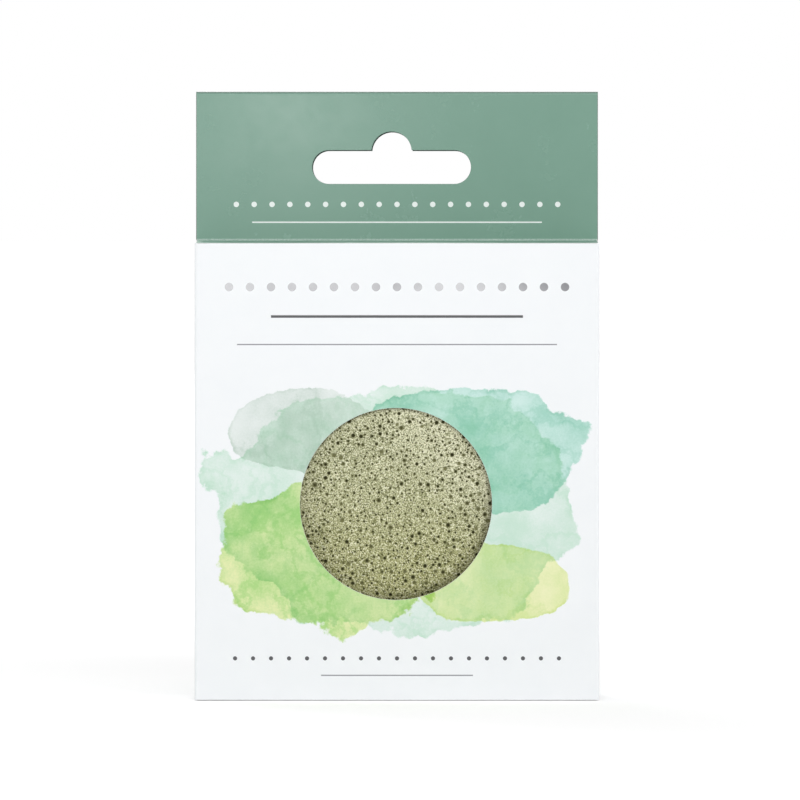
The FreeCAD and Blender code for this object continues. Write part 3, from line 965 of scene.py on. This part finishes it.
sideways, _, height = add(tree, "ShaderNodeSeparateXYZ", {0: place}).outputs
colour = tint(tree, rise(tree, patch, 0.36, 0.66), (0.570, 0.575, 0.360), (0.662, 0.664, 0.427))
# Yellower towards the bottom, and darker there as painted shade
low_down = rise(tree, height, sponge_middle + 0.014, sponge_middle - 0.020)
colour = tint(tree, low_down, colour, (0.505, 0.503, 0.235))
# Painted light: the foam is painted lighter towards the upper right
toward_upper_right = number(tree, "ADD", sideways, height)
painted_light_upper_right = rise(tree, toward_upper_right, sponge_middle + 0.005, sponge_middle + 0.026)
colour = tint(tree, painted_light_upper_right, colour, (0.780, 0.775, 0.545))
colour = tint(tree, rise(tree, stain, 0.54, 0.70, 0.0, 0.55), colour, (0.400, 0.410, 0.215))
crumbs = rise(tree, grain, 0.54, 0.66)
colour = tint(tree, crumbs, colour, (0.885, 0.876, 0.680))
gaps = rise(tree, grain, 0.54, 0.40)
colour = tint(tree, gaps, colour, tint(tree, 1.0, colour, (0.36, 0.37, 0.29), "MULTIPLY"))
# The pinholes are only colour and a faint bump: their dark spots are painted shade
pinhole = number(tree, "MAXIMUM", pinholes(0.00085, 0.00015, 0.75),
                 number(tree, "MULTIPLY", pinholes(0.00052, 0.00012, 0.7), 0.9))
colour = tint(tree, number(tree, "MULTIPLY", pinhole, 0.85), colour, (0.085, 0.087, 0.040))
# Painted shade: the pores are painted dark olive, near black where they open most
colour = tint(tree, rise(tree, pore, 0.12, 0.42, 0.0, 0.9), colour, (0.170, 0.170, 0.070))
colour = tint(tree, rise(tree, pore, 0.50, 0.76, 0.0, 0.95), colour, (0.042, 0.042, 0.016))
relief = number(tree, "SUBTRACT", grain, number(tree, "MULTIPLY", pinhole, 0.8))
surface(tree, shader, colour, rise(tree, grain, 0.3, 0.7, 0.98, 0.86), relief, 0.5, 0.00012)
shader.inputs["Specular IOR Level"].default_value = 0.2
sponge.data.materials.append(sponge_foam)
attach(sponge, "sponge")
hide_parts("konjac_sponge")

# Photo stand: a wide white floor under soft, even light. The main soft box is in front, up and to the right,
# with weaker ones at the sides and behind, and a small lamp close by gives the sheen on the header.
# The long lens looks almost straight at the front wall.
floor_half, floor_drop = 6.0, 0.0001
floor_mesh = bpy.data.meshes.new("stand_floor")
floor_corners = [(floor_half * x, floor_half * y, 0) for x, y in ((-1, -1), (1, -1), (1, 1), (-1, 1))]
floor_mesh.from_pydata(floor_corners, [], [(0, 1, 2, 3)])
floor = placed("stand_floor", floor_mesh)
floor.location.z = -floor_drop


def seen_directly(tree):
    """Whether the lens sees a point itself, in a reflection or through glass."""
    ray = tree.nodes.new("ShaderNodeLightPath").outputs
    through = number(tree, "MAXIMUM", ray["Is Glossy Ray"], ray["Is Transmission Ray"])
    return number(tree, "MAXIMUM", ray["Is Camera Ray"], through)


white_floor = bpy.data.materials.new("white_floor")
white_floor.use_nodes = True
tree = white_floor.node_tree
tree.nodes.remove(tree.nodes["Principled BSDF"])
plain = add(tree, "ShaderNodeBsdfDiffuse", {"Color": (0.75, 0.75, 0.75)}).outputs[0]
shaded = add(tree, "ShaderNodeBsdfDiffuse", {"Color": (0.95, 0.95, 0.95)}).outputs[0]
spot = tree.nodes.new("ShaderNodeNewGeometry").outputs["Position"]
from_carton = add(tree, "ShaderNodeVectorMath", {0: spot}, operation="LENGTH").outputs["Value"]
glow = rise(tree, from_carton, 0.15, 0.8, 0.24, 0.60)
glow = add(tree, "ShaderNodeEmission", {"Strength": glow}).outputs[0]
lit = add(tree, "ShaderNodeAddShader", {0: shaded, 1: glow}).outputs[0]
mixed = add(tree, "ShaderNodeMixShader", {0: seen_directly(tree), 1: plain, 2: lit}).outputs[0]
tree.links.new(mixed, tree.nodes["Material Output"].inputs["Surface"])
floor.data.materials.append(white_floor)

world = bpy.data.worlds.new("soft_room")
bpy.context.scene.world = world
world.use_nodes = True
tree = world.node_tree
background = tree.nodes["Background"]
background.inputs["Color"].default_value = (1, 1, 1, 1)
tree.links.new(rise(tree, seen_directly(tree), 0.0, 1.0, 0.52, 1.0), background.inputs["Strength"])


def soft_box(name, place, aim, width, height, power):
    """A rectangular soft lamp that the lens itself doesn't see."""
    lamp = bpy.data.lights.new(name, "AREA")
    lamp.shape = "RECTANGLE"
    lamp.size, lamp.size_y, lamp.energy = width, height, power
    stand = placed(name, lamp)
    stand.location = place
    stand.rotation_euler = (Vector(aim) - Vector(place)).to_track_quat("-Z", "Y").to_euler()
    stand.visible_camera = False


middle = Vector((0, 0, 0.06))
soft_box("main_soft_box", (0.35, -2.2, 0.95), middle, 1.4, 1.0, 18.8)
soft_box("right_soft_box", (1.6, -0.55, 0.45), middle, 1.2, 0.9, 6.0)
soft_box("left_soft_box", (-1.6, -0.75, 0.45), middle, 1.2, 0.9, 5.0)
soft_box("back_soft_box", (-0.7, 2.4, 1.2), middle, 1.2, 1.0, 22.0)
sheen_x, sheen_z = -0.0230, 0.1175
soft_box("header_lamp", (sheen_x, header_front - 0.25, sheen_z), (sheen_x, 0, sheen_z), 0.02, 0.02, 0.023)

lens = bpy.data.cameras.new("photo_lens")
lens.sensor_width = 36.0
lens_distance, frame_width = 3.8, 0.160
lens.lens = lens.sensor_width * lens_distance / frame_width
lens.clip_end = 20.0
camera = placed("photo_camera", lens)
tilt = math.radians(1.35)
aim = Vector((0.0006, front_low.y, 0.0601))
camera.location = aim + Vector((0, -math.cos(tilt), math.sin(tilt))) * lens_distance
camera.rotation_euler = (math.pi / 2 - tilt, 0, 0)
bpy.context.scene.camera = camera
bpy.context.scene.view_settings.view_transform = "Standard"
